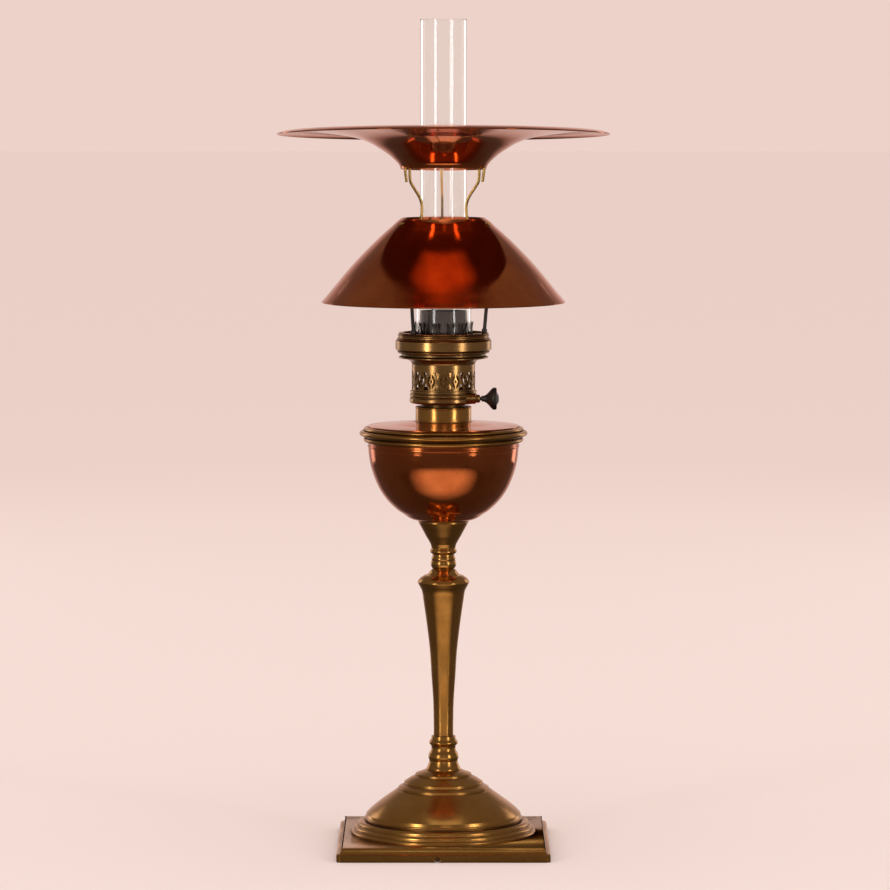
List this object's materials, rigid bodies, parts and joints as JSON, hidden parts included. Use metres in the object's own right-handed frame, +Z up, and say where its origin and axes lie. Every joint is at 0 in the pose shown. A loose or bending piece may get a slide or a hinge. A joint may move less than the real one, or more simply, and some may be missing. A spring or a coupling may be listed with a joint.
{
  "type": "oil lamp",
  "caption": "Table oil lamp on a turned column with a lift-out font, round-wick burner, glass chimney, conical shade and dish reflector.",
  "frame": {"origin": "centre of the base plate's underside, on the lamp's axis", "axes": "+Z up along the column, +X towards the wick knob, -Y the side that is looked at"},
  "size_m": [0.2798, 0.2793, 0.6999],
  "materials": {
    "brass": "aged golden brown, satin polish with lathe lines",
    "copper": "deep red-brown copper, highly polished",
    "iron": "as cast",
    "steel": "dull",
    "tinplate": "tinned sheet",
    "burner_brass": "bronzed, rubbed bright on the edges",
    "blackened_metal": "heat-blackened satin",
    "winder_steel": "dull",
    "carrier_brass": "bronzed",
    "hook_brass": "yellow drawn wire",
    "glass": "clear, fire-polished rim",
    "wick_cotton": "woven cotton, charred at the top"
  },
  "bodies": {
    "stand": {"base_plate": "brass", "foot_ring": "brass", "foot_dome": "brass", "foot_weight": "iron", "foot_knop": "brass", "column_shaft": "brass", "column_knop": "brass", "bowl_cup": "brass", "tie_rod": "steel", "tie_rod_nuts": "steel", "tie_rod_washers": "steel", "bowl": "copper", "bowl_rim": "brass"},
    "font": {"font_reservoir": "tinplate", "font_flange": "brass", "font_shoulder": "copper", "font_collar": "brass"},
    "burner": {"burner_neck": "burner_brass", "burner_base": "burner_brass", "burner_fret": "burner_brass", "burner_flange": "burner_brass", "burner_gallery": "burner_brass", "chimney_holder": "blackened_metal", "flame_tube": "blackened_metal", "wick_tube": "burner_brass", "air_tube": "burner_brass", "spindle_bearing": "burner_brass", "spindle_boss": "burner_brass"},
    "winder": {"winder_spindle": "winder_steel", "winder_pinions": "winder_steel", "winder_knob": "blackened_metal"},
    "wick": {"wick": "wick_cotton"},
    "chimney": {"chimney": "glass"},
    "carrier": {"carrier_ring": "carrier_brass", "carrier_rods": "blackened_metal", "carrier_hoop": "blackened_metal"},
    "shade": {"lower_shade": "copper", "shade_hooks": "hook_brass"},
    "reflector": {"reflector": "copper"}
  },
  "joints": [
    {"name": "font_lift", "type": "slide", "parent": "stand", "child": "font", "axis": [0, 0, 1], "range_m": [0, 0.075]},
    {"name": "burner_lift", "type": "slide", "parent": "font", "child": "burner", "axis": [0, 0, 1], "range_m": [0, 0.016]},
    {"name": "winder_turn", "type": "hinge", "parent": "burner", "child": "winder", "pos_m": [0, -0.0167, 0.38196], "axis": [1, 0, 0], "range_deg": [-110, 55]},
    {"name": "wick_raise", "type": "slide", "parent": "burner", "child": "wick", "axis": [0, 0, 1], "range_m": [-0.006, 0.003]},
    {"name": "chimney_lift", "type": "slide", "parent": "burner", "child": "chimney", "axis": [0, 0, 1], "range_m": [0, 0.03]},
    {"name": "carrier_lift", "type": "slide", "parent": "burner", "child": "carrier", "axis": [0, 0, 1], "range_m": [0, 0.02]},
    {"name": "shade_lift", "type": "slide", "parent": "carrier", "child": "shade", "axis": [0, 0, 1], "range_m": [0, 0.04]},
    {"name": "reflector_lift", "type": "slide", "parent": "shade", "child": "reflector", "axis": [0, 0, 1], "range_m": [0, 0.05]}
  ],
  "couplings": [
    {"joint": "winder_turn", "follows": "wick_raise", "rad_per_m": 312.5}
  ]
}
